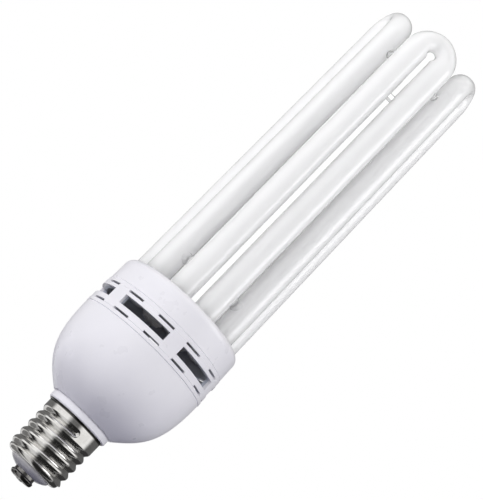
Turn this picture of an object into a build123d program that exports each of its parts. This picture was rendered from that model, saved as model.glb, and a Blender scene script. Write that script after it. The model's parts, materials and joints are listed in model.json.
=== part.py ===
from build123d import *
import os
from math import atan2, ceil, cos, degrees, hypot, radians, sin, tan

# Compact fluorescent lamp: five U tubes on a vented ballast housing with an E40 screw cap.
# Millimetres. +Z runs along the lamp's axis from the cap to the tubes.
# The origin is the tip of the centre contact, and the first U tube faces -Y.

# Screw cap
SOLDER_RISE = 0.6
SOLDER_RADIUS = 2.3
CONTACT_RADIUS = 7.9
CONTACT_HEIGHT = 5.1
CONTACT_BORE = 1.0
INSULATOR_DROP = 4.1
INSULATOR_DEPTH = 6.5
INSULATOR_BORE = 1.3
SHELL_CURL = 3.4
CURL_STEP = 0.75
CURL_RETURN = 3.25
SHELL_WALL = 0.5
SHELL_LENGTH = 37.6
THREAD_CREST = 19.75
THREAD_DEPTH = 1.8
THREAD_PITCH = 6.35
CREST_LAND = 0.35
CREST_ROLL = 1.5
VALLEY_ROLL = 0.45
THREAD_SETBACK = 6.9
RUN_OUT_ANGLE = 15.0
LIP_WIDTH = 0.75
LIP_HEIGHT = 1.3

# Lower housing
HOUSING_WALL = 2.0
SPIGOT_LENGTH = 22.0
SPIGOT_WALL = 2.0
FLANGE_OVERHANG = 1.1
FLANGE_HEIGHT = 4.2
FLANGE_CHAMFER = 0.6
NECK_GROOVE = 0.8
NECK_DEPTH = 1.0
FOOT_OVERHANG = 1.4
BOWL_RADIUS = 45.4
BOWL_HEIGHT = 52.7
BOWL_FOOT_RUN = 15.0
BOWL_FOOT_RISE = 12.0
BOWL_SHOULDER = 30.0
RIM_BAND = 2.8
RIM_STEP = 0.25
RIM_GROOVE = 0.7
RIM_DEPTH = 0.4
LEDGE_WIDTH = 2.4
LEDGE_HEIGHT = 3.0

# Vent ring
RING_INSET = 0.3
RING_HEIGHT = 14.5
RING_CHAMFER = 0.4
SLEEVE_WALL = 1.6
SLEEVE_DEPTH = 5.4
SLEEVE_RISE = 4.6
BEAD_DEPTH = 0.45
BEAD_HEIGHT = 1.6
BEAD_SETBACK = 2.4
WINDOW_COUNT = 6
WINDOW_ANGLE = 46.0
WINDOW_SILL = 4.6
WINDOW_HEIGHT = 6.2
VENT_PHASE = 11.5
SLOT_ANGLE = 15.5
SLOT_GAP_ANGLE = 13.4
SLOT_HEIGHT = 1.5

# Tube holder
HOLDER_INSET = 0.6
HOLDER_HEIGHT = 19.6
HOLDER_BAND = 2.2
HOLDER_TAPER = 0.3
HOLDER_EDGE = 5.0
PLATE_THICKNESS = 2.5
CEMENT_DEPTH = 8.0

# Glass tubes
TUBE_COUNT = 5
LEG_MARGIN = 2.05
LEG_GAP = 3.9
LEG_ANGLE = 17.5
TUBE_LEAN = 0.3
TUBE_EXPOSED = 226.8
TUBE_STUB = 4.0
END_TAPER = 2.0
CROWN_FLATTENING = 2.2
CROWN_NARROWING = 0.4
BEND_LEAD = 6.0
BEND_STEPS = 4
BRIDGE_RISE = 18.5
BRIDGE_ROOT = 4.4
BRIDGE_WAIST = 3.1
BRIDGE_EMBED = 1.6
SPACER_DROP = 30.0
SPACER_RADIUS = 2.6

# Ballast board and wiring
BOARD_THICKNESS = 1.6
PIN_WIDTH = 1.0
PIN_HEIGHT = 9.0
FILAMENT_SPREAD = 4.4
FILAMENT_WIRE = 0.4
LEAD_RADIUS = 0.8
LEAD_HOLE = 0.5
LEAD_DROP = 15.0
LIVE_BEND = 6.4
NEUTRAL_BEND = 3.2

# Ballast components
CAPACITOR_RADIUS = 9.0
CAPACITOR_LENGTH = 32.0
CAPACITOR_CRIMP = 0.7
CHOKE_WIDTH = 25.0
CHOKE_HEIGHT = 25.0
CHOKE_DEPTH = 8.0
CHOKE_LEG = 7.0
CHOKE_YOKE = 3.7
CHOKE_OUTER_LEG = 3.5
BOBBIN_WALL = 0.9
BOBBIN_OVERHANG = 5.2
CHOKE_LIFT = 1.2
FILTER_RADIUS = 5.0
FILTER_HEIGHT = 13.0
FILTER_CORE = 2.5
FILTER_FLANGE = 1.5
TOROID_OUTER = 7.0
TOROID_INNER = 4.0
TOROID_HEIGHT = 5.0
TOROID_WIRE = 0.8
TRANSISTOR_WIDTH = 10.0
TRANSISTOR_HEIGHT = 15.0
TRANSISTOR_DEPTH = 4.4
TRANSISTOR_LIFT = 4.0
TRANSISTOR_LEG = 0.8
SINK_WIDTH = 26.0
SINK_HEIGHT = 22.0
SINK_THICKNESS = 2.0
RESONANT_SIZE = (18.0, 7.0, 13.0)
BLOCKING_SIZE = (13.0, 6.0, 11.0)
LINE_SIZE = (16.0, 7.0, 13.0)
FILM_EDGE = 1.5
DIODE_RADIUS = 2.6
DIODE_HEIGHT = 9.0
DIODE_PITCH = 7.0
DIODE_COUNT = 4
FUSE_RADIUS = 2.0
FUSE_LENGTH = 11.0
THERMISTOR_RADIUS = 5.0
THERMISTOR_THICKNESS = 3.5
RESISTOR_RADIUS = 1.2
RESISTOR_LENGTH = 6.5
RESISTOR_PITCH = 4.0
RESISTOR_COUNT = 3
TRIGGER_RADIUS = 1.0
TRIGGER_LENGTH = 4.2

# Places on the board: shares of its radius across and along, then a turn in degrees
LIVE_HOLE = (-0.36, -0.62)
NEUTRAL_HOLE = (0.52, -0.60)
CAPACITOR_PLACE = (-0.36, 0.22)
CHOKE_PLACE = (0.40, 0.16, 62.0)
FILTER_PLACE = (-0.58, -0.32)
DRIVE_PLACE = (0.02, -0.34)
SINK_PLACE = (0.12, -0.72)
RESONANT_PLACE = (-0.58, 0.52, 48.0)
BLOCKING_PLACE = (0.06, 0.58)
LINE_PLACE = (-0.82, 0.05, 87.0)
DIODE_PLACE = (-0.02, 0.79)
FUSE_PLACE = (-0.80, -0.30, 110.0)
THERMISTOR_PLACE = (0.46, 0.72, -30.0)
RESISTOR_PLACE = (0.68, -0.32, 20.0)
TRIGGER_PLACE = (0.40, -0.38, 90.0)

# Clearances between nested pieces, at a bond and at the ends of the snap beads
FIT = 0.15
BOND = 0.05
BEAD_FIT = 0.15

# Levels along the axis
contact_bottom = SOLDER_RISE
insulator_bottom = contact_bottom + CONTACT_HEIGHT
shell_bottom = insulator_bottom + INSULATOR_DROP
shell_top = shell_bottom + SHELL_LENGTH
thread_start = shell_bottom + SHELL_CURL
thread_end = shell_top - THREAD_SETBACK
flange_top = shell_top + FLANGE_HEIGHT
bowl_bottom = flange_top + NECK_GROOVE
seam_low = bowl_bottom + BOWL_HEIGHT
seam_high = seam_low + RING_HEIGHT
holder_top = seam_high + HOLDER_HEIGHT
plate_bottom = holder_top - PLATE_THICKNESS
cement_bottom = plate_bottom - CEMENT_DEPTH
tube_bottom = cement_bottom - TUBE_STUB
tube_top = holder_top + TUBE_EXPOSED
board_top = seam_low - SLEEVE_DEPTH
board_bottom = board_top - BOARD_THICKNESS
spigot_bottom = shell_top - SPIGOT_LENGTH

# Radii that several pieces share
thread_root = THREAD_CREST - THREAD_DEPTH
shell_bore = thread_root - SHELL_WALL
shell_mouth = shell_bore - CURL_RETURN
lip_radius = THREAD_CREST + LIP_WIDTH
flange_radius = lip_radius + FLANGE_OVERHANG
bowl_foot = flange_radius + FOOT_OVERHANG
spigot_radius = shell_bore - FIT
neck_bore = spigot_radius - SPIGOT_WALL
mouth_radius = BOWL_RADIUS - HOUSING_WALL
ring_radius = BOWL_RADIUS - RING_INSET
holder_radius = BOWL_RADIUS - HOLDER_INSET
holder_mouth = holder_radius - HOUSING_WALL
holder_top_radius = holder_radius - RIM_STEP - HOLDER_TAPER
holder_inside = holder_top_radius - HOUSING_WALL
sleeve_bore = holder_mouth - FIT - SLEEVE_WALL
board_radius = mouth_radius - FIT

# Tube legs: the thickest that fit side by side on one circle in the holder, with the mean gap
half_pitch = 180.0 / TUBE_COUNT
legs_across = sin(radians(half_pitch / 2))
leg_circle = (holder_inside - LEG_MARGIN + LEG_GAP / 2) / (1 + legs_across)
tube_radius = leg_circle * legs_across - LEG_GAP / 2
half_spacing = leg_circle * sin(radians(LEG_ANGLE))
tube_plane = leg_circle * cos(radians(LEG_ANGLE))
bend_outer = half_spacing + tube_radius
bend_level = tube_top - bend_outer

# Bridges, halfway between neighbouring U tubes
bridge_level = holder_top + BRIDGE_RISE
bridge_half = leg_circle * sin(radians(half_pitch - LEG_ANGLE))
bridge_plane = leg_circle * cos(radians(half_pitch - LEG_ANGLE))

# Choke: the core's windows and the bobbin that fills them
choke_window = (CHOKE_WIDTH - CHOKE_LEG) / 2 - CHOKE_OUTER_LEG
choke_opening = CHOKE_HEIGHT - 2 * CHOKE_YOKE
bobbin_width = CHOKE_LEG + 2 * choke_window - 2 * FIT
bobbin_depth = CHOKE_DEPTH + 2 * BOBBIN_OVERHANG
sleeve_width = CHOKE_LEG + 2 * FIT + 2 * BOBBIN_WALL
sleeve_depth = CHOKE_DEPTH + 2 * FIT + 2 * BOBBIN_WALL

BASE = (Align.CENTER, Align.CENTER, Align.MIN)


def turned(*outline):
    """Solid of revolution about Z from a closed outline of (radius, height) lines."""
    return revolve(Plane.XZ * make_face(Curve() + list(outline)), Axis.Z)


def turned_points(*points):
    """Solid of revolution about Z from straight runs between (radius, height) points."""
    return turned(Polyline(*points, close=True))


def sector(inner, outer, bottom, height, centre_angle, angle):
    """Block of a ring that spans an angle, for windows and slots; angles start at -Y."""
    middle = (inner + outer) / 2
    face = Plane.XZ * Pos(middle, bottom + height / 2) * Rectangle(outer - inner, height)
    return Rot(0, 0, centre_angle - angle / 2 - 90) * revolve(face, Axis.Z, revolution_arc=angle)


def wire(points, radius, bends):
    """Round wire along straight runs with rounded corners."""
    path = FilletPolyline(*points, radius=bends)
    return sweep(Plane(path @ 0, z_dir=path % 0) * Circle(radius), path=path)


def on_board(piece, across, along, turn=0.0):
    """Hang a component, drawn upright from z=0, from the board's underside.

    across and along are shares of the board's radius, so the layout follows the board.
    """
    place = Pos(across * board_radius, along * board_radius, board_bottom)
    return place * Rot(0, 0, turn) * Rot(180, 0, 0) * piece


# Screw cap


def screw_shell():
    """Thin shell: curled lower lip, and a sleeve with a rolled thread and a flared upper lip."""
    return_top = shell_bottom + SHELL_WALL
    curl_radius = thread_root + CURL_STEP
    curl = turned(
        Bezier((shell_mouth, shell_bottom), (curl_radius, shell_bottom), (curl_radius, thread_start)),
        Line((curl_radius, thread_start), (shell_bore, thread_start)),
        Bezier((shell_bore, thread_start), (shell_bore, return_top), (shell_mouth, return_top)),
        Line((shell_mouth, return_top), (shell_mouth, shell_bottom)),
    )
    lip_bottom = shell_top - LIP_HEIGHT
    lip_edge = shell_top - LIP_HEIGHT / 3
    spare = 3 * THREAD_PITCH
    blank_bottom = thread_start - spare
    blank = turned(
        Polyline((shell_bore, shell_top), (shell_bore, blank_bottom), (THREAD_CREST, blank_bottom)),
        Line((THREAD_CREST, blank_bottom), (THREAD_CREST, lip_bottom)),
        Bezier((THREAD_CREST, lip_bottom), (THREAD_CREST, lip_edge), (lip_radius, lip_edge)),
        Polyline((lip_radius, lip_edge), (lip_radius, shell_top), (shell_bore, shell_top)),
    )
    for cut in thread_valley():
        blank -= cut
    trim = Pos(0, 0, blank_bottom) * Cylinder(lip_radius, spare, align=BASE)
    return blank - trim + curl


def thread_valley():
    """Cuts for a right-hand knuckle thread: a valley swept up a helix, and its rounded run-out.

    The valley begins whole turns below the run-out, past the end of the shell. Its flanks lean out
    just beyond the crest, so the crests between the turns keep a narrow land.
    """
    half_valley = (THREAD_PITCH - CREST_LAND) / 2
    overlap = THREAD_DEPTH / 40
    outside = THREAD_CREST + overlap

    def flank(side):
        return Bezier(
            (thread_root, 0),
            (thread_root, side * VALLEY_ROLL),
            (THREAD_CREST - overlap, side * (half_valley - CREST_ROLL)),
            (outside, side * half_valley),
        )

    mouth = Line((outside, half_valley), (outside, -half_valley))
    section = make_face(Curve() + [flank(1), mouth, flank(-1)])
    half_mouth = Polyline((outside, half_valley), (outside, 0), (thread_root, 0))
    half_section = make_face(Curve() + [flank(1), half_mouth])
    turns = ceil((thread_end - thread_start) / THREAD_PITCH) + 1
    climb = turns * THREAD_PITCH
    helix = Helix(THREAD_PITCH, climb, THREAD_CREST)
    valley = Pos(0, 0, -climb) * sweep(Plane.XZ * section, path=helix, is_frenet=True)
    run_out = revolve(Plane.XZ * half_section, Axis.X)
    top = Pos(0, 0, thread_end) * Rot(0, 0, RUN_OUT_ANGLE - 90)
    return top * valley, top * run_out


def cap_insulator():
    lip_top = shell_bottom + SHELL_WALL
    throat = shell_mouth - FIT
    shoulder = shell_bore - 2 * FIT
    return turned(
        Line((INSULATOR_BORE, insulator_bottom), (CONTACT_RADIUS, insulator_bottom)),
        Bezier(
            (CONTACT_RADIUS, insulator_bottom),
            (throat, insulator_bottom + INSULATOR_DROP / 2),
            (throat, shell_bottom),
        ),
        Line((throat, shell_bottom), (throat, lip_top)),
        Line((throat, lip_top), (shoulder, thread_start)),
        Line((shoulder, thread_start), (shoulder, shell_bottom + INSULATOR_DEPTH)),
        Line((shoulder, shell_bottom + INSULATOR_DEPTH), (INSULATOR_BORE, shell_bottom + INSULATOR_DEPTH)),
        Line((INSULATOR_BORE, shell_bottom + INSULATOR_DEPTH), (INSULATOR_BORE, insulator_bottom)),
    )


def centre_contact():
    neck = CONTACT_RADIUS - CONTACT_HEIGHT / 6
    bulge = contact_bottom + CONTACT_HEIGHT / 2
    flat = CONTACT_RADIUS - CONTACT_HEIGHT / 2
    return turned(
        Line((CONTACT_BORE, insulator_bottom), (neck, insulator_bottom)),
        Line((neck, insulator_bottom), (neck, bulge + CONTACT_HEIGHT / 6)),
        Line((neck, bulge + CONTACT_HEIGHT / 6), (CONTACT_RADIUS, bulge)),
        Bezier((CONTACT_RADIUS, bulge), (CONTACT_RADIUS, contact_bottom), (flat, contact_bottom)),
        Line((flat, contact_bottom), (CONTACT_BORE, contact_bottom)),
        Line((CONTACT_BORE, contact_bottom), (CONTACT_BORE, insulator_bottom)),
    )


def contact_solder():
    return turned(
        Line((0, 0), (0, contact_bottom)),
        Line((0, contact_bottom), (SOLDER_RADIUS, contact_bottom)),
        Bezier((SOLDER_RADIUS, contact_bottom), (SOLDER_RADIUS, 0), (0, 0)),
    )


# Housing


def snap_points(radius, level, half_height, depth):
    """Points of a snap bead or its groove that stands out from a radius, from bottom to top."""
    outer = radius + depth
    return [
        (radius, level - half_height),
        (outer, level - half_height / 2),
        (outer, level + half_height / 2),
        (radius, level + half_height),
    ]


def snap_groove(radius, level):
    """Groove in the inside of a wall, with room for the bead all round."""
    return snap_points(radius, level, BEAD_HEIGHT / 2 + BEAD_FIT, BEAD_DEPTH + BEAD_FIT)


def snap_bead(radius, level):
    """Bead on the outside of the ring's sleeve."""
    return snap_points(radius, level, BEAD_HEIGHT / 2, BEAD_DEPTH + FIT)


def lower_housing():
    bowl_edge = BOWL_RADIUS - RIM_STEP
    rim_level = seam_low - RIM_BAND
    ledge_bottom = board_bottom - LEDGE_HEIGHT
    ledge_radius = mouth_radius - LEDGE_WIDTH
    inside_edge = bowl_edge - HOUSING_WALL
    inside_foot = bowl_foot - HOUSING_WALL / 2
    inside_floor = bowl_bottom + HOUSING_WALL
    outside = Bezier(
        (bowl_foot, bowl_bottom),
        (bowl_foot + BOWL_FOOT_RUN, bowl_bottom + BOWL_FOOT_RISE),
        (bowl_edge, rim_level - BOWL_SHOULDER),
        (bowl_edge, rim_level),
    )
    inside_top = ledge_bottom - LEDGE_WIDTH
    inside = Bezier(
        (inside_edge, inside_top),
        (inside_edge, inside_top - BOWL_SHOULDER + 2 * HOUSING_WALL),
        (inside_foot + BOWL_FOOT_RUN, inside_floor + BOWL_FOOT_RISE),
        (inside_foot, inside_floor),
    )
    groove = snap_groove(mouth_radius, seam_low - BEAD_SETBACK)
    return turned(
        Polyline(
            (neck_bore, spigot_bottom),
            (spigot_radius, spigot_bottom),
            (spigot_radius, shell_top),
            (flange_radius - FLANGE_CHAMFER, shell_top),
            (flange_radius, shell_top + FLANGE_CHAMFER),
            (flange_radius, flange_top),
            (flange_radius - NECK_DEPTH, flange_top),
            (flange_radius - NECK_DEPTH, bowl_bottom),
            (bowl_foot, bowl_bottom),
        ),
        outside,
        Polyline(
            (bowl_edge, rim_level),
            (bowl_edge - RIM_DEPTH, rim_level + RIM_GROOVE / 2),
            (BOWL_RADIUS, rim_level + RIM_GROOVE),
            (BOWL_RADIUS, seam_low),
            (mouth_radius, seam_low),
            *reversed(groove),
            (mouth_radius, board_bottom),
            (ledge_radius, board_bottom),
            (ledge_radius, ledge_bottom),
            (inside_edge, inside_top),
        ),
        inside,
        Polyline(
            (inside_foot, inside_floor),
            (neck_bore, inside_floor),
            (neck_bore, spigot_bottom),
        ),
    )


def vent_ring():
    low_sleeve = mouth_radius - FIT
    high_sleeve = holder_mouth - FIT
    ring = turned_points(
        (sleeve_bore, board_top),
        (low_sleeve, board_top),
        *snap_bead(low_sleeve, seam_low - BEAD_SETBACK),
        (low_sleeve, seam_low),
        (ring_radius - RING_CHAMFER, seam_low),
        (ring_radius, seam_low + RING_CHAMFER),
        (ring_radius, seam_high - RING_CHAMFER),
        (ring_radius - RING_CHAMFER, seam_high),
        (high_sleeve, seam_high),
        *snap_bead(high_sleeve, seam_high + BEAD_SETBACK),
        (high_sleeve, seam_high + SLEEVE_RISE),
        (sleeve_bore, seam_high + SLEEVE_RISE),
    )
    inner = sleeve_bore - HOUSING_WALL
    outer = ring_radius + HOUSING_WALL
    pitch = 360.0 / WINDOW_COUNT
    openings = []
    for index in range(WINDOW_COUNT):
        post_centre = VENT_PHASE + index * pitch
        sill = seam_low + WINDOW_SILL
        openings.append(sector(inner, outer, sill, WINDOW_HEIGHT, post_centre + pitch / 2, WINDOW_ANGLE))
        for side in (-1, 1):
            slot_centre = post_centre + side * (SLOT_GAP_ANGLE + SLOT_ANGLE) / 2
            for bottom in (seam_low, seam_high - SLOT_HEIGHT):
                openings.append(sector(inner, outer, bottom, SLOT_HEIGHT, slot_centre, SLOT_ANGLE))
    return ring - openings


def tube_frame(index, lean):
    """Place of a U tube drawn in the XZ plane: turned to its side of the lamp and leant inwards."""
    side = Rot(0, 0, 2 * half_pitch * index) * Pos(0, -tube_plane, holder_top)
    return side * Rot(-lean, 0, 0) * Pos(0, 0, -holder_top)


def leg_holes(clearance, bottom, height):
    """Leaning cylinders that clear every leg between two levels."""
    drill = Cylinder(tube_radius + clearance, height, align=BASE)
    holes = []
    for index in range(TUBE_COUNT):
        for side in (-1, 1):
            holes.append(tube_frame(index, TUBE_LEAN) * Pos(side * half_spacing, 0, bottom) * drill)
    return holes


def tube_holder():
    band = holder_radius - RIM_STEP
    band_level = seam_high + HOLDER_BAND
    edge_level = holder_top - HOLDER_EDGE
    flat_radius = holder_top_radius - HOLDER_EDGE
    groove = snap_groove(holder_mouth, seam_high + BEAD_SETBACK)
    cap = turned(
        Polyline(
            (holder_mouth, seam_high),
            (holder_radius, seam_high),
            (holder_radius, band_level),
            (band - RIM_DEPTH, band_level + RIM_GROOVE / 2),
            (band, band_level + RIM_GROOVE),
            (holder_top_radius, edge_level),
        ),
        RadiusArc((holder_top_radius, edge_level), (flat_radius, holder_top), -HOLDER_EDGE),
        Polyline(
            (flat_radius, holder_top),
            (0, holder_top),
            (0, plate_bottom),
            (holder_inside, plate_bottom),
            *reversed(groove),
            (holder_mouth, seam_high),
        ),
    )
    return cap - leg_holes(FIT, plate_bottom - HOLDER_EDGE, PLATE_THICKNESS + 2 * HOLDER_EDGE)


def tube_cement():
    layer = Pos(0, 0, cement_bottom) * Cylinder(holder_inside - FIT, CEMENT_DEPTH, align=BASE)
    return layer - leg_holes(BOND, cement_bottom - FIT, CEMENT_DEPTH + 2 * FIT)


# Glass


def bend_section(turn, drop=0.0):
    """Glass section at an angle round the bend; it grows flatter from the legs to the crown."""
    share = sin(turn) ** 2
    half_thickness = tube_radius - CROWN_FLATTENING * share
    half_depth = tube_radius - CROWN_NARROWING * share
    reach = bend_outer - half_thickness
    plane = Plane(
        origin=(reach * cos(turn), 0, bend_level + reach * sin(turn) - drop),
        x_dir=(0, 1, 0),
        z_dir=(-sin(turn), 0, cos(turn)),
    )
    return plane * Ellipse(half_depth, half_thickness)


def bent_tube():
    """Two legs and the bend that joins them, in the XZ plane: one half and its mirror image."""
    quarter_turn = radians(90)
    sections = [bend_section(0.0, BEND_LEAD)]
    sections += [bend_section(quarter_turn * step / BEND_STEPS) for step in range(BEND_STEPS + 1)]
    bend = loft(sections)
    leg_end = bend.faces().sort_by(Axis.Z)[0]
    leg = extrude(leg_end, bend_level - BEND_LEAD - tube_bottom)
    leg = chamfer(leg.edges().group_by(Axis.Z)[0], END_TAPER)
    half = bend + leg
    return half + mirror(half, about=Plane.YZ)


def half_bridge(side):
    """Fused neck from a leg (-1 left, 1 right) to the plane halfway to the next U tube."""
    towards = (side * cos(radians(half_pitch)), sin(radians(half_pitch)), 0)
    root = tube_radius - BRIDGE_EMBED
    origin = (side * half_spacing + root * towards[0], root * towards[1], bridge_level)
    return Plane(origin, z_dir=towards) * Cone(BRIDGE_ROOT, BRIDGE_WAIST, bridge_half - root, align=BASE)


def u_tubes():
    """All U tubes, counted from the front; the back pair is the open end of the series."""
    open_gap = TUBE_COUNT // 2
    tubes = []
    for index in range(TUBE_COUNT):
        tube = tube_frame(index, TUBE_LEAN) * bent_tube()
        if index != open_gap:
            tube += tube_frame(index, 0) * half_bridge(1)
        if index != open_gap + 1:
            tube += tube_frame(index, 0) * half_bridge(-1)
        tubes.append(tube)
    return tubes


def tube_spacers():
    """Drops between neighbouring U tubes, shaped to the two glass walls."""
    level = tube_top - SPACER_DROP
    legs = leg_holes(BOND, level - 2 * SPACER_RADIUS, 4 * SPACER_RADIUS)
    plane_there = tube_plane - (level - holder_top) * tan(radians(TUBE_LEAN))
    angle_there = degrees(atan2(half_spacing, plane_there))
    middle = hypot(half_spacing, plane_there) * cos(radians(half_pitch - angle_there))
    drop = Pos(0, -middle, level) * Rot(0, 90, 0) * Cylinder(SPACER_RADIUS, half_spacing)
    return [Rot(0, 0, half_pitch * (2 * index + 1)) * drop - legs for index in range(TUBE_COUNT)]


# Board and wiring


def electrode_places():
    """Ends of the four electrode wires: two in each leg that borders the open gap at the back."""
    places = []
    for side in (-1, 1):
        for wire_side in (-1, 1):
            across = side * bridge_half + wire_side * FILAMENT_SPREAD / 2
            places.append((across, bridge_plane))
    return places


def circuit_board():
    board = Pos(0, 0, board_bottom) * Cylinder(board_radius - FIT, BOARD_THICKNESS, align=BASE)
    holes = []
    for across, along in (LIVE_HOLE, NEUTRAL_HOLE):
        drill = Cylinder(LEAD_HOLE, BOARD_THICKNESS, align=BASE)
        holes.append(Pos(across * board_radius, along * board_radius, board_bottom) * drill)
    return board - holes


def wrap_pins():
    pin = Box(PIN_WIDTH, PIN_WIDTH, PIN_HEIGHT, align=BASE)
    return [Pos(x, y, board_top) * pin for x, y in electrode_places()]


def filament_leads():
    start = board_top + PIN_HEIGHT
    lead = Cylinder(FILAMENT_WIRE, tube_bottom - start, align=BASE)
    return [Pos(x, y, start) * lead for x, y in electrode_places()]


def live_lead():
    across, along = (share * board_radius for share in LIVE_HOLE)
    points = [
        (0, 0, contact_bottom),
        (0, 0, spigot_bottom),
        (across / 4, along / 4, bowl_bottom),
        (across, along, board_bottom - LEAD_DROP),
        (across, along, board_bottom),
    ]
    return wire(points, LEAD_RADIUS, LIVE_BEND)


def neutral_lead():
    across, along = (share * board_radius for share in NEUTRAL_HOLE)
    solder_radius = shell_bore - LEAD_RADIUS - FIT
    inside = neck_bore - 3 * LEAD_RADIUS
    solder_level = shell_bottom + INSULATOR_DEPTH + LEAD_RADIUS
    points = [
        (solder_radius, 0, solder_level),
        (inside, 0, spigot_bottom),
        (inside, 0, flange_top),
        (across, along, board_bottom - LEAD_DROP),
        (across, along, board_bottom),
    ]
    return wire(points, LEAD_RADIUS, NEUTRAL_BEND)


# Ballast components, each drawn upright from z=0


def bulk_capacitor():
    waist = CAPACITOR_RADIUS - CAPACITOR_CRIMP
    crimp = 4 * CAPACITOR_CRIMP
    can = turned_points(
        (0, 0),
        (CAPACITOR_RADIUS, 0),
        (CAPACITOR_RADIUS, crimp),
        (waist, crimp + CAPACITOR_CRIMP),
        (CAPACITOR_RADIUS, crimp + 2 * CAPACITOR_CRIMP),
        (CAPACITOR_RADIUS, CAPACITOR_LENGTH - CAPACITOR_CRIMP),
        (waist, CAPACITOR_LENGTH),
        (0, CAPACITOR_LENGTH),
    )
    return on_board(can, *CAPACITOR_PLACE)


def choke_core():
    body = Box(CHOKE_WIDTH, CHOKE_DEPTH, CHOKE_HEIGHT, align=BASE)
    window = Box(choke_window, CHOKE_DEPTH, choke_opening, align=BASE)
    offset_x = (CHOKE_LEG + choke_window) / 2
    cuts = [Pos(side * offset_x, 0, CHOKE_YOKE) * window for side in (-1, 1)]
    return on_board(Pos(0, 0, CHOKE_LIFT) * (body - cuts), *CHOKE_PLACE)


def choke_bobbin():
    sleeve_bottom = CHOKE_LIFT + CHOKE_YOKE + FIT
    height = choke_opening - 2 * FIT
    flange = Box(bobbin_width, bobbin_depth, BOBBIN_WALL, align=BASE)
    body = Box(sleeve_width, sleeve_depth, height, align=BASE)
    body += flange
    body += Pos(0, 0, height - BOBBIN_WALL) * flange
    body -= Box(CHOKE_LEG + 2 * FIT, CHOKE_DEPTH + 2 * FIT, height, align=BASE)
    body = Pos(0, 0, sleeve_bottom) * body
    rail_depth = BOBBIN_OVERHANG - 2 * FIT
    for side in (-1, 1):
        rail = Box(bobbin_width, rail_depth, sleeve_bottom + BOBBIN_WALL, align=BASE)
        body += Pos(0, side * (bobbin_depth - rail_depth) / 2, 0) * rail
    return on_board(body, *CHOKE_PLACE)


def choke_winding():
    height = choke_opening - 2 * FIT - 2 * BOBBIN_WALL
    outer = Box(bobbin_width - 2 * FIT, bobbin_depth - 4 * FIT, height, align=BASE)
    corner = min(choke_window, BOBBIN_OVERHANG) / 2
    outer = fillet(outer.edges().filter_by(Axis.Z), corner)
    winding = outer - Box(sleeve_width, sleeve_depth, height, align=BASE)
    level = CHOKE_LIFT + CHOKE_YOKE + FIT + BOBBIN_WALL
    return on_board(Pos(0, 0, level) * winding, *CHOKE_PLACE)


def filter_core():
    spool = turned_points(
        (0, 0),
        (FILTER_RADIUS, 0),
        (FILTER_RADIUS, FILTER_FLANGE),
        (FILTER_CORE, FILTER_FLANGE),
        (FILTER_CORE, FILTER_HEIGHT - FILTER_FLANGE),
        (FILTER_RADIUS, FILTER_HEIGHT - FILTER_FLANGE),
        (FILTER_RADIUS, FILTER_HEIGHT),
        (0, FILTER_HEIGHT),
    )
    return on_board(spool, *FILTER_PLACE)


def filter_winding():
    height = FILTER_HEIGHT - 2 * FILTER_FLANGE
    outer = FILTER_RADIUS - 2 * FIT
    coil = turned_points(
        (FILTER_CORE, FILTER_FLANGE),
        (outer, FILTER_FLANGE),
        (outer, FILTER_FLANGE + height),
        (FILTER_CORE, FILTER_FLANGE + height),
    )
    return on_board(coil, *FILTER_PLACE)


def toroid_ring():
    return turned_points(
        (TOROID_INNER, TOROID_WIRE),
        (TOROID_OUTER, TOROID_WIRE),
        (TOROID_OUTER, TOROID_WIRE + TOROID_HEIGHT),
        (TOROID_INNER, TOROID_WIRE + TOROID_HEIGHT),
    )


def drive_core():
    return on_board(toroid_ring(), *DRIVE_PLACE)


def drive_windings():
    """Three short windings wrapped round the ring's section."""
    section = TOROID_OUTER - TOROID_INNER
    middle = (TOROID_OUTER + TOROID_INNER) / 2
    wrap = Box(section + 2 * TOROID_WIRE, TOROID_INNER, TOROID_HEIGHT + 2 * TOROID_WIRE, align=BASE)
    windings = []
    for angle in (90, 210, 330):
        wound = Rot(0, 0, angle) * Pos(middle, 0, 0) * wrap - toroid_ring()
        windings.append(on_board(wound, *DRIVE_PLACE))
    return windings


def heat_sink():
    plate = Box(SINK_WIDTH, SINK_THICKNESS, SINK_HEIGHT, align=BASE)
    return on_board(plate, *SINK_PLACE)


def transistor(side):
    """Flat power package against the sink, on three legs."""
    shift = (SINK_THICKNESS + TRANSISTOR_DEPTH) / 2
    body = Box(TRANSISTOR_WIDTH, TRANSISTOR_DEPTH, TRANSISTOR_HEIGHT, align=BASE)
    body = Pos(0, 0, TRANSISTOR_LIFT) * body
    for step in (-1, 0, 1):
        leg = Box(TRANSISTOR_LEG, TRANSISTOR_LEG, TRANSISTOR_LIFT, align=BASE)
        body += Pos(step * TRANSISTOR_WIDTH / 4, 0, 0) * leg
    return on_board(Pos(side * SINK_WIDTH / 4, -shift, 0) * body, *SINK_PLACE)


def film_capacitor(size, place):
    """Boxed capacitor, rounded everywhere but on the board's side."""
    body = Box(*size, align=BASE)
    upper = body.edges() - body.faces().sort_by(Axis.Z)[0].edges()
    return on_board(fillet(upper, FILM_EDGE), *place)


def rectifier_diodes():
    diode = Cylinder(DIODE_RADIUS, DIODE_HEIGHT, align=BASE)
    start = -(DIODE_COUNT - 1) * DIODE_PITCH / 2
    row = [Pos(start + step * DIODE_PITCH, 0, 0) * diode for step in range(DIODE_COUNT)]
    return [on_board(diode_in_row, *DIODE_PLACE) for diode_in_row in row]


def lying(radius, length):
    """Round part that lies along X on the board."""
    return Pos(0, 0, radius) * Rot(0, 90, 0) * Cylinder(radius, length)


def input_fuse():
    return on_board(lying(FUSE_RADIUS, FUSE_LENGTH), *FUSE_PLACE)


def start_thermistor():
    disc = Pos(0, 0, THERMISTOR_RADIUS) * Rot(90, 0, 0) * Cylinder(THERMISTOR_RADIUS, THERMISTOR_THICKNESS)
    return on_board(disc, *THERMISTOR_PLACE)


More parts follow.
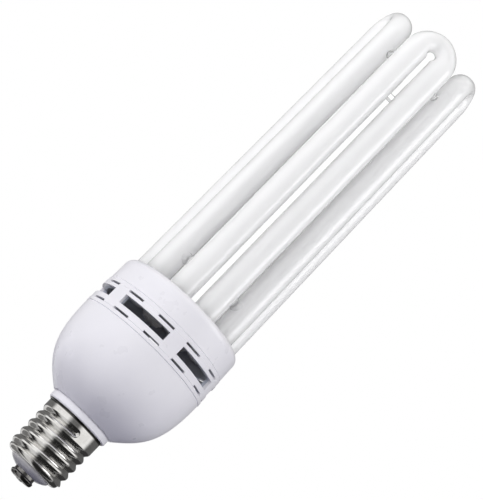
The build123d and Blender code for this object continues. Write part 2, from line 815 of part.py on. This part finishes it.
def bias_resistors():
    resistor = lying(RESISTOR_RADIUS, RESISTOR_LENGTH)
    start = -(RESISTOR_COUNT - 1) * RESISTOR_PITCH / 2
    row = [Pos(0, start + step * RESISTOR_PITCH, 0) * resistor for step in range(RESISTOR_COUNT)]
    return [on_board(resistor_in_row, *RESISTOR_PLACE) for resistor_in_row in row]


def trigger_diode():
    return on_board(lying(TRIGGER_RADIUS, TRIGGER_LENGTH), *TRIGGER_PLACE)


def nodes():
    """Every piece of the lamp by its node name."""
    pieces = {
        "screw_shell": screw_shell(),
        "cap_insulator": cap_insulator(),
        "centre_contact": centre_contact(),
        "contact_solder": contact_solder(),
        "lower_housing": lower_housing(),
        "vent_ring": vent_ring(),
        "tube_holder": tube_holder(),
        "tube_cement": tube_cement(),
        "tube_spacers": Compound(children=tube_spacers()),
        "circuit_board": circuit_board(),
        "wrap_pins": Compound(children=wrap_pins()),
        "filament_leads": Compound(children=filament_leads()),
        "live_lead": live_lead(),
        "neutral_lead": neutral_lead(),
        "bulk_capacitor": bulk_capacitor(),
        "choke_core": choke_core(),
        "choke_bobbin": choke_bobbin(),
        "choke_winding": choke_winding(),
        "filter_core": filter_core(),
        "filter_winding": filter_winding(),
        "drive_core": drive_core(),
        "drive_windings": Compound(children=drive_windings()),
        "heat_sink": heat_sink(),
        "transistor_1": transistor(-1),
        "transistor_2": transistor(1),
        "resonant_capacitor": film_capacitor(RESONANT_SIZE, RESONANT_PLACE),
        "blocking_capacitor": film_capacitor(BLOCKING_SIZE, BLOCKING_PLACE),
        "line_capacitor": film_capacitor(LINE_SIZE, LINE_PLACE),
        "rectifier_diodes": Compound(children=rectifier_diodes()),
        "input_fuse": input_fuse(),
        "start_thermistor": start_thermistor(),
        "bias_resistors": Compound(children=bias_resistors()),
        "trigger_diode": trigger_diode(),
    }
    for number, tube in enumerate(u_tubes(), start=1):
        pieces[f"u_tube_{number}"] = tube
    return pieces


os.makedirs("parts", exist_ok=True)
for name, piece in nodes().items():
    export_step(piece, f"parts/{name}.step")
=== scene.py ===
import json
from math import cos, radians, sin

import bpy
from mathutils import Matrix, Vector

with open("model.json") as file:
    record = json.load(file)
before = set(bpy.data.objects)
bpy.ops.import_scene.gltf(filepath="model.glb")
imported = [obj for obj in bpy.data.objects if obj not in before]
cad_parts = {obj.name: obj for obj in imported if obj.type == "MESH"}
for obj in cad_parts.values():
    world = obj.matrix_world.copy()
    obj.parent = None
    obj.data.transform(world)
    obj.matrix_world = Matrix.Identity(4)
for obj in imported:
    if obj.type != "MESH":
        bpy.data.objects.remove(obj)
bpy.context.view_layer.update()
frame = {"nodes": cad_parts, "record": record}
nodes = frame["nodes"]

# Camera, matched to the photograph: it looks up at the lamp and is rolled, so the lamp leans right
IMAGE_HEIGHT = 500
FOCAL_PIXELS = 1700.0
SENSOR = 36.0
CAMERA_TILT = radians(13.19)
CAMERA_ROLL = radians(44.215)
CAMERA_DISTANCE = 1.0223
CAMERA_SIDE = -0.00038
CAMERA_NEAR = 0.01
AIM_HEIGHT = 0.1896

# Floor just below the camera: plain and pale where it is seen, with a painted soft shadow of the lamp
# from ambient occlusion. The light that it throws back on the lamp is that of a dark mat near the lamp on
# pale paper.
FLOOR_LEVEL = -0.06
FLOOR_RADIUS = 6.0
FLOOR_SIDES = 96
FLOOR_ROUGHNESS = 0.9
FLOOR_SEEN = (0.92, 0.92, 0.92, 1)
PAINTED_SHADOW_REACH = 0.3
FLOOR_MAT = (0.14, 0.14, 0.25, 1)
FLOOR_PAPER = (0.85, 0.85, 0.87, 1)
MAT_PLACE = (0.12, 0.0, 0.0)
MAT_EDGE = (0.20, 0.43)

# Light: a sky that is brightest low down, a broad soft key low at the left whose lower part is hidden
# below the floor, a weaker fill at the right, and a lamp behind the tubes, whose translucent walls
# pass its light on
SKY_SEEN = 1.0
SKY_COLOUR = (1, 1, 1, 1)
SKY_HORIZON = 1.49
SKY_OVERHEAD = 0.15
LIGHT_AIM = (0.0, 0.0, 0.18)
LIGHTS = {
    "key": dict(place=(-1.9, -0.85, 0.05), size=1.2, power=27.0),
    "fill": dict(place=(1.4, -1.2, 0.9), size=1.0, power=8.0),
    "back": dict(place=(0.0, 1.9, 0.5), size=1.4, power=8.0),
}

# Cards round the lamp that only reflections see, in degrees from the camera's side towards +X. Each
# runs from one ring to another, given as (radius, height), and fades out over its two ends. The dim
# ones give the cap and the tubes their dark reflections, the two strips the tubes' long highlights.
CARDS = {
    "lens_card": dict(start=-28, end=38, low=(0.70, -0.058), high=(0.70, 0.14), glow=0.16),
    "front_card": dict(start=-28, end=40, low=(0.70, 0.14), high=(0.70, 0.90), glow=0.02),
    "right_card": dict(start=18, end=106, low=(0.72, 0.20), high=(0.72, 0.90), glow=0.02),
    "front_mat": dict(start=-28, end=106, low=(0.002, -0.058), high=(0.70, -0.058), glow=0.02),
    "left_card": dict(start=-107, end=-52, low=(0.70, 0.14), high=(0.70, 0.90), glow=0.02),
    "left_mat": dict(start=-107, end=-52, low=(0.002, -0.058), high=(0.70, -0.058), glow=0.02),
    "right_back_card": dict(start=84, end=192, low=(0.90, -0.058), high=(0.90, 1.90), glow=0.12),
    "left_back_card": dict(start=168, end=274, low=(0.92, -0.058), high=(0.92, 1.90), glow=0.16),
    "right_back_mat": dict(start=86, end=180, low=(0.002, -0.057), high=(0.90, -0.057), glow=0.04),
    "left_back_mat": dict(start=180, end=268, low=(0.05, -0.057), high=(0.25, -0.057), glow=0.20),
    "right_strip": dict(start=36, end=90, low=(0.17, 0.165), high=(0.17, 0.42), glow=3.0),
    "left_strip": dict(start=-90, end=-36, low=(0.17, 0.165), high=(0.17, 0.42), glow=1.4),
}
CARD_FADE = 21
CARD_STEP = 6

MILLIMETRE = 0.001

# Where painted shade starts, in millimetres: on the curled lip of the cap, and on the inside of the
# housing
LIP_SHADE_START = (45.6, 46.0)
LIP_SHADE_TINT = (0.12, 0.12, 0.12)
INSIDE_SHADE_REACH = (43.3, 42.9)
INSIDE_SHADE_FLOOR = (100.0, 101.0)
INSIDE_SHADE_CEILING = (137.1, 136.9)
INSIDE_SHADE_TINT = (0.62, 0.66, 0.72)

# The parts of a noise's range over which colour and roughness go from one end to the other
COLOUR_SPAN = (0.35, 0.65)
ROUGHNESS_SPAN = (0.3, 0.7)

# Plain finishes: two close colours in patches, a roughness range and a grain, sizes in millimetres.
# The patches of roughness are finer than those of colour by this many times.
ROUGHNESS_FINER = 3
PLAIN_FINISHES = {
    "cap_glass": dict(
        first=(0.55, 0.54, 0.53), second=(0.61, 0.60, 0.59), patch=4,
        rough=(0.06, 0.14), grain=6, depth=0.06, Coat_Weight=0.2),
    "contact_metal": dict(
        first=(0.17, 0.165, 0.16), second=(0.34, 0.33, 0.315), patch=2,
        rough=(0.05, 0.14), grain=1, depth=0.02, Metallic=1.0),
    "solder": dict(
        first=(0.50, 0.50, 0.49), second=(0.68, 0.68, 0.67), patch=1.5,
        rough=(0.18, 0.4), grain=1.2, depth=0.08, Metallic=1.0),
    "silicone": dict(
        first=(0.86, 0.86, 0.86), second=(0.92, 0.92, 0.92), patch=2,
        rough=(0.08, 0.16), grain=1.5, depth=0.03, Transmission_Weight=0.8, IOR=1.41),
    "cement": dict(
        first=(0.56, 0.58, 0.61), second=(0.66, 0.68, 0.71), patch=3,
        rough=(0.8, 0.95), grain=0.8, depth=0.1),
    "board": dict(
        first=(0.19, 0.145, 0.085), second=(0.27, 0.21, 0.13), patch=3,
        rough=(0.45, 0.6), grain=0.6, depth=0.02),
    "lead_red": dict(
        first=(0.42, 0.03, 0.025), second=(0.54, 0.05, 0.04), patch=4,
        rough=(0.4, 0.5), grain=1, depth=0.01),
    "lead_black": dict(
        first=(0.015, 0.015, 0.017), second=(0.03, 0.03, 0.033), patch=4,
        rough=(0.4, 0.5), grain=1, depth=0.01),
    "tinned_wire": dict(
        first=(0.56, 0.56, 0.55), second=(0.70, 0.70, 0.69), patch=1,
        rough=(0.2, 0.35), grain=0.6, depth=0.01, Metallic=1.0),
    "capacitor_sleeve": dict(
        first=(0.012, 0.018, 0.05), second=(0.02, 0.03, 0.075), patch=6,
        rough=(0.2, 0.35), grain=3, depth=0.03),
    "ferrite": dict(
        first=(0.045, 0.045, 0.05), second=(0.075, 0.075, 0.08), patch=1.5,
        rough=(0.6, 0.8), grain=0.5, depth=0.03),
    "bobbin_plastic": dict(
        first=(0.03, 0.03, 0.03), second=(0.05, 0.05, 0.05), patch=4,
        rough=(0.4, 0.55), grain=0.8, depth=0.01),
    "copper": dict(
        first=(0.42, 0.14, 0.05), second=(0.58, 0.22, 0.09), patch=1.5,
        rough=(0.22, 0.4), grain=0.6, depth=0.1, Metallic=1.0),
    "film_green": dict(
        first=(0.03, 0.12, 0.05), second=(0.05, 0.17, 0.08), patch=4,
        rough=(0.2, 0.35), grain=2, depth=0.04),
    "film_red": dict(
        first=(0.24, 0.035, 0.02), second=(0.33, 0.055, 0.03), patch=4,
        rough=(0.2, 0.35), grain=2, depth=0.04),
    "film_yellow": dict(
        first=(0.52, 0.34, 0.03), second=(0.62, 0.42, 0.05), patch=5,
        rough=(0.25, 0.4), grain=2, depth=0.02),
    "package_black": dict(
        first=(0.014, 0.014, 0.015), second=(0.026, 0.026, 0.028), patch=2,
        rough=(0.5, 0.7), grain=0.4, depth=0.02),
    "sink_aluminium": dict(
        first=(0.58, 0.58, 0.59), second=(0.70, 0.70, 0.71), patch=3,
        rough=(0.3, 0.5), grain=0.5, depth=0.01, Metallic=1.0),
    "fuse_body": dict(
        first=(0.62, 0.60, 0.54), second=(0.72, 0.70, 0.64), patch=2,
        rough=(0.5, 0.7), grain=0.5, depth=0.01),
    "thermistor_body": dict(
        first=(0.06, 0.08, 0.11), second=(0.10, 0.13, 0.17), patch=2,
        rough=(0.4, 0.6), grain=0.6, depth=0.03),
    "resistor_body": dict(
        first=(0.38, 0.26, 0.13), second=(0.48, 0.34, 0.18), patch=1,
        rough=(0.4, 0.55), grain=0.6, depth=0.03),
}


def add_to_scene(name, data):
    placed = bpy.data.objects.new(name, data)
    bpy.context.scene.collection.objects.link(placed)
    return placed


def new_material(name):
    material = bpy.data.materials.new(name)
    material.use_nodes = True
    return material


def add_node(tree, kind, inputs=None, **settings):
    """A shader node with its settings; each input is a value, or another node's output to link."""
    node = tree.nodes.new("ShaderNode" + kind)
    for name, value in settings.items():
        setattr(node, name, value)
    for socket, value in (inputs or {}).items():
        if isinstance(value, bpy.types.NodeSocket):
            tree.links.new(value, node.inputs[socket])
        else:
            node.inputs[socket].default_value = value
    return node


def add_camera():
    forward = Vector((0, cos(CAMERA_TILT), sin(CAMERA_TILT)))
    across = Vector((1, 0, 0))
    upward = across.cross(forward)
    right = across * cos(CAMERA_ROLL) + upward * sin(CAMERA_ROLL)
    up = upward * cos(CAMERA_ROLL) - across * sin(CAMERA_ROLL)
    data = bpy.data.cameras.new("camera")
    data.sensor_width = SENSOR
    data.lens = FOCAL_PIXELS * SENSOR / IMAGE_HEIGHT
    data.clip_start = CAMERA_NEAR
    camera = add_to_scene("camera", data)
    place = Vector((CAMERA_SIDE, 0, AIM_HEIGHT)) - forward * CAMERA_DISTANCE
    turn = Matrix((right, up, -forward)).transposed()
    camera.matrix_world = Matrix.Translation(place) @ turn.to_4x4()
    bpy.context.scene.camera = camera


def add_area_light(name, place, size, power):
    data = bpy.data.lights.new(name, "AREA")
    data.size = size
    data.energy = power
    light = add_to_scene(name, data)
    light.location = place
    light.visible_camera = False
    light.visible_glossy = False
    aim = Vector(LIGHT_AIM) - Vector(place)
    light.rotation_euler = aim.to_track_quat("-Z", "Y").to_euler()


def add_world():
    """White where the camera, reflections and clear pieces see it, and a graded sky for diffuse light."""
    world = bpy.data.worlds.new("studio")
    bpy.context.scene.world = world
    world.use_nodes = True
    tree = world.node_tree
    rays = add_node(tree, "LightPath").outputs
    seen = add_node(tree, "Math", {
        0: rays["Is Camera Ray"], 1: rays["Is Glossy Ray"]}, operation="MAXIMUM")
    shown = add_node(tree, "Math", {
        0: seen.outputs[0], 1: rays["Is Transmission Ray"]}, operation="MAXIMUM")
    place = add_node(tree, "TexCoord")
    axes = add_node(tree, "SeparateXYZ", {"Vector": place.outputs["Generated"]})
    graded = add_node(tree, "MapRange", {
        "Value": axes.outputs["Z"], "To Min": SKY_HORIZON, "To Max": SKY_OVERHEAD})
    level = add_node(tree, "MapRange", {
        "Value": shown.outputs[0], "To Min": graded.outputs["Result"], "To Max": SKY_SEEN})
    background = tree.nodes["Background"]
    background.inputs["Color"].default_value = SKY_COLOUR
    tree.links.new(level.outputs["Result"], background.inputs["Strength"])


def floor_paper():
    """Plain with a painted soft shadow to the camera; mat and paper in the light that it throws back."""
    material = new_material("floor_paper")
    tree = material.node_tree
    rays = add_node(tree, "LightPath").outputs
    place = add_node(tree, "TexCoord")
    reach = add_node(tree, "VectorMath", {
        0: place.outputs["Object"], 1: MAT_PLACE}, operation="DISTANCE")
    beyond = add_node(tree, "MapRange", {
        "Value": reach.outputs["Value"], "From Min": MAT_EDGE[0], "From Max": MAT_EDGE[1]})
    bounce = add_node(tree, "MixRGB", {
        "Fac": beyond.outputs["Result"], "Color1": FLOOR_MAT, "Color2": FLOOR_PAPER})
    paper = add_node(tree, "MixRGB", {
        "Fac": rays["Is Diffuse Ray"], "Color1": FLOOR_SEEN, "Color2": bounce.outputs["Color"]})
    shader = tree.nodes["Principled BSDF"]
    shader.inputs["Roughness"].default_value = FLOOR_ROUGHNESS
    tree.links.new(paper.outputs["Color"], shader.inputs["Base Color"])
    # Painted shadow: to the camera the floor is an emission whose strength is the ambient occlusion round
    # the lamp
    shadow = add_node(tree, "AmbientOcclusion", {"Distance": PAINTED_SHADOW_REACH})
    plain = add_node(tree, "Emission", {"Color": FLOOR_SEEN, "Strength": shadow.outputs["AO"]})
    surface = add_node(tree, "MixShader", {
        "Fac": rays["Is Camera Ray"], 1: shader.outputs["BSDF"], 2: plain.outputs["Emission"]})
    tree.links.new(surface.outputs["Shader"], tree.nodes["Material Output"].inputs["Surface"])
    return material


def add_floor():
    bpy.ops.mesh.primitive_circle_add(vertices=FLOOR_SIDES, radius=FLOOR_RADIUS, fill_type="NGON")
    floor = bpy.context.object
    floor.name = "floor"
    floor.location = (0, 0, FLOOR_LEVEL)
    floor.data.materials.append(floor_paper())


def card_paper(name, span, glow):
    """Paper of one brightness that fades to nothing over CARD_FADE degrees at each end of its span."""
    material = new_material(name)
    tree = material.node_tree
    tree.nodes.clear()
    along = add_node(tree, "Attribute", attribute_name="along")
    inward = add_node(tree, "Math", {0: along.outputs["Fac"], 1: span / 2}, operation="PINGPONG")
    solid = add_node(tree, "MapRange", {
        "Value": inward.outputs[0], "From Max": CARD_FADE}, interpolation_type="SMOOTHSTEP")
    clear = add_node(tree, "BsdfTransparent")
    shine = add_node(tree, "Emission", {"Strength": glow})
    surface = add_node(tree, "MixShader", {
        "Fac": solid.outputs["Result"], 1: clear.outputs["BSDF"], 2: shine.outputs["Emission"]})
    add_node(tree, "OutputMaterial", {"Surface": surface.outputs["Shader"]})
    return material


def add_card(name, start, end, low, high, glow):
    """A card between two arcs round the lamp's axis, which only reflections see."""
    span = end - start
    steps = round(span / CARD_STEP)
    turns = [span * (step / steps) for step in range(steps + 1)]
    angles = [radians(start + turn) for turn in turns]
    points = [(radius * sin(angle), -radius * cos(angle), height)
              for angle in angles for radius, height in (low, high)]
    faces = [(2 * step, 2 * step + 2, 2 * step + 3, 2 * step + 1) for step in range(steps)]
    mesh = bpy.data.meshes.new(name)
    mesh.from_pydata(points, [], faces)
    along = mesh.attributes.new("along", "FLOAT", "POINT")
    along.data.foreach_set("value", [turn for turn in turns for ring in (low, high)])
    card = add_to_scene(name, mesh)
    card.visible_camera = False
    card.visible_diffuse = False
    card.visible_shadow = False
    card.visible_transmission = False
    mesh.materials.append(card_paper(name, span, glow))


class Finish:
    """A material whose colour, roughness and relief come from noise in the lamp's own space."""

    def __init__(self, name, **values):
        self.material = new_material(name)
        self.tree = self.material.node_tree
        self.shader = self.tree.nodes["Principled BSDF"]
        self.place = self.add("TexCoord").outputs["Object"]
        for socket, value in values.items():
            self.shader.inputs[socket.replace("_", " ")].default_value = value

    def add(self, kind, inputs=None, **settings):
        return add_node(self.tree, kind, inputs, **settings)

    def drive(self, socket, output):
        self.tree.links.new(output, self.shader.inputs[socket])

    def noise(self, size, detail=3.0, stretch=(1, 1, 1)):
        """Noise whose patches are about size millimetres across."""
        mapping = self.add("Mapping", {"Vector": self.place, "Scale": stretch})
        pattern = self.add("TexNoise", {
            "Vector": mapping.outputs["Vector"], "Scale": 1 / (size * MILLIMETRE), "Detail": detail})
        return pattern.outputs["Fac"]

    def colour(self, factor, first, second):
        """Base colour that runs from first to second as the factor crosses COLOUR_SPAN."""
        ramp = self.add("ValToRGB", {"Fac": factor})
        start, end = ramp.color_ramp.elements
        start.position, end.position = COLOUR_SPAN
        start.color = (*first, 1)
        end.color = (*second, 1)
        self.drive("Base Color", ramp.outputs["Color"])
        return ramp.outputs["Color"]

    def height(self):
        return self.add("SeparateXYZ", {"Vector": self.place}).outputs["Z"]

    def reach(self):
        """Distance from the lamp's axis."""
        level = self.add("VectorMath", {0: self.place, 1: (1, 1, 0)}, operation="MULTIPLY")
        length = self.add("VectorMath", {0: level.outputs["Vector"]}, operation="LENGTH")
        return length.outputs["Value"]

    def rise(self, value, start, end):
        """A factor that goes from 0 at start to 1 at end, both in millimetres."""
        span = self.add("MapRange", {
            "Value": value, "From Min": start * MILLIMETRE, "From Max": end * MILLIMETRE})
        return span.outputs["Result"]

    def both(self, first, second):
        return self.add("Math", {0: first, 1: second}, operation="MULTIPLY").outputs[0]

    def paint_shade(self, colour, factor, tint):
        """Painted shade: base colour that is multiplied by a tint as the factor goes from 0 to 1."""
        shade = self.add("MixRGB", {
            "Fac": factor, "Color1": colour, "Color2": (*tint, 1)}, blend_type="MULTIPLY")
        self.drive("Base Color", shade.outputs["Color"])

    def roughness(self, factor, low, high):
        """Roughness that runs from low to high as the factor crosses ROUGHNESS_SPAN."""
        span = self.add("MapRange", {
            "Value": factor, "From Min": ROUGHNESS_SPAN[0], "From Max": ROUGHNESS_SPAN[1],
            "To Min": low, "To Max": high})
        self.drive("Roughness", span.outputs["Result"])

    def bump(self, factor, depth):
        """Relief of about depth millimetres."""
        relief = self.add("Bump", {
            "Height": factor, "Distance": depth * MILLIMETRE, "Strength": 1.0})
        self.drive("Normal", relief.outputs["Normal"])


def coated_glass():
    """Clear glass over a white coating: smooth gloss on a faintly uneven white."""
    finish = Finish("coated_glass", Coat_Weight=1.0, Coat_Roughness=0.02, Coat_IOR=1.55,
                    Subsurface_Weight=1.0, Subsurface_Scale=0.05, Subsurface_Radius=(1, 1, 1))
    coating = finish.noise(size=26, detail=2.0, stretch=(1, 1, 0.3))
    finish.colour(coating, first=(0.965, 0.965, 0.968), second=(0.98, 0.98, 0.982))
    finish.roughness(finish.noise(size=3), low=0.42, high=0.52)
    finish.bump(finish.noise(size=40, detail=1.0), depth=0.05)
    return finish.material


def housing_plastic():
    """Moulded lilac-white plastic with a fine satin grain, and painted shade on its inside behind the
    vents.
    """
    finish = Finish("housing_plastic", IOR=1.49)
    shades = finish.noise(size=30, detail=4.0)
    plastic = finish.colour(shades, first=(0.80, 0.79, 0.835), second=(0.825, 0.815, 0.855))
    # Painted shade on the inner faces of the housing, about 101 to 137 mm high and within about 43 mm of
    # the axis
    heights = finish.both(finish.rise(finish.height(), *INSIDE_SHADE_FLOOR),
                          finish.rise(finish.height(), *INSIDE_SHADE_CEILING))
    inside = finish.both(finish.rise(finish.reach(), *INSIDE_SHADE_REACH), heights)
    finish.paint_shade(plastic, inside, INSIDE_SHADE_TINT)
    finish.roughness(finish.noise(size=12), low=0.27, high=0.30)
    finish.bump(finish.noise(size=0.7, detail=2.0), depth=0.0012)
    return finish.material


def cap_plating():
    """Nickel plating over rolled sheet: faint lines round the axis, dull spots and painted shade along
    the curled lip.
    """
    finish = Finish("cap_plating", Metallic=1.0)
    rolled = finish.noise(size=8, detail=5.0, stretch=(0.3, 0.3, 9))
    spots = finish.noise(size=5, detail=5.0)
    plating = finish.colour(spots, first=(0.72, 0.705, 0.68), second=(0.82, 0.81, 0.79))
    # Painted shade: the plating goes dark above about 46 mm, along the curled lip
    finish.paint_shade(plating, finish.rise(finish.height(), *LIP_SHADE_START), LIP_SHADE_TINT)
    finish.roughness(rolled, low=0.08, high=0.18)
    finish.bump(rolled, depth=0.01)
    return finish.material


def plain_finish(name, first, second, patch, rough, grain, depth, **values):
    finish = Finish(name, **values)
    finish.colour(finish.noise(patch), first, second)
    finish.roughness(finish.noise(patch / ROUGHNESS_FINER), *rough)
    finish.bump(finish.noise(grain), depth)
    return finish.material


def make_finishes():
    """The material of every slot in the record, by the slot's name."""
    finishes = {
        "coated_glass": coated_glass(),
        "housing_plastic": housing_plastic(),
        "cap_plating": cap_plating(),
    }
    for name, values in PLAIN_FINISHES.items():
        finishes[name] = plain_finish(name, **values)
    return finishes


def dress_nodes(finishes):
    """Give every CAD node the material of its slot in the record."""
    for part in frame["record"]["subparts"]:
        mesh = nodes[part["node"]].data
        mesh.materials.clear()
        mesh.materials.append(finishes[part["material_slot"]])


bpy.context.scene.view_settings.view_transform = "Standard"
add_camera()
add_world()
add_floor()
for light_name, light_values in LIGHTS.items():
    add_area_light(light_name, **light_values)
for card_name, card_values in CARDS.items():
    add_card(card_name, **card_values)
dress_nodes(make_finishes())
